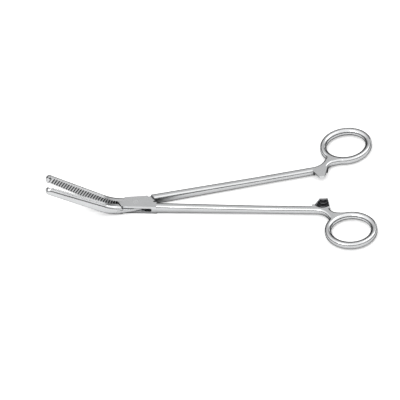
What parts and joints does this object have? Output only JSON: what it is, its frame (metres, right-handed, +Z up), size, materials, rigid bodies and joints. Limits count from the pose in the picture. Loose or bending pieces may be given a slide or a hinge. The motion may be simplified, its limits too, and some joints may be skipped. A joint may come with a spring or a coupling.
{
  "type": "hysterectomy forceps",
  "caption": "Long clamping forceps with curved, cross-serrated jaws, a box lock, slender shanks, ring handles and a ratchet catch.",
  "frame": {"origin": "the pin axis where it leaves the box's flat underside", "axes": "+X towards the finger rings, along the line midway between the two halves; +Z up out of the table, the way the jaws curve"},
  "size_m": [0.2052, 0.1016, 0.0302],
  "materials": {
    "box_half_steel": "satin stainless steel",
    "tongue_half_steel": "satin stainless steel",
    "pin_steel": "ground stainless steel"
  },
  "bodies": {
    "box_side": {"box_half": "box_half_steel", "pivot_pin": "pin_steel"},
    "tongue_side": {"tongue_half": "tongue_half_steel"}
  },
  "joints": [
    {"name": "box_lock", "type": "hinge", "parent": "box_side", "child": "tongue_side", "pos_m": [0, 0, 0.0031], "axis": [0, 0, 1], "range_deg": [-8.5, 45]}
  ]
}
